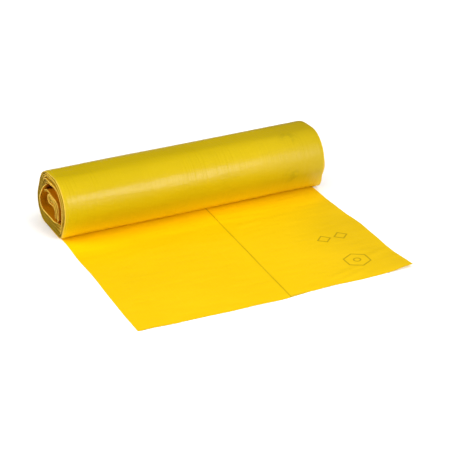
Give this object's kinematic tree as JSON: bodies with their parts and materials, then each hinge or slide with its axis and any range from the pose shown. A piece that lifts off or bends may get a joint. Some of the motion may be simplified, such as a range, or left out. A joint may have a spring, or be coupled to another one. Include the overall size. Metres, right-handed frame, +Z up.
{
  "type": "garbage bag roll",
  "caption": "Loosely wound roll of thin yellow film refuse bags, folded lengthwise to the roll's width, with the outermost bag drawn off and lying flat in front.",
  "frame": {"origin": "on the floor, in the middle of the whole outline of roll and flat bag", "axes": "+X along the roll's length, +Y towards the back with the roll at the back and the flat bag in front, +Z up"},
  "size_m": [0.35, 0.333, 0.08],
  "materials": {
    "yellow_film": "satin translucent polyethylene film, bright yellow, orange where light passes between turns, with faint ripples and creases"
  },
  "bodies": {
    "root": {"bag_roll": "yellow_film"}
  },
  "joints": []
}
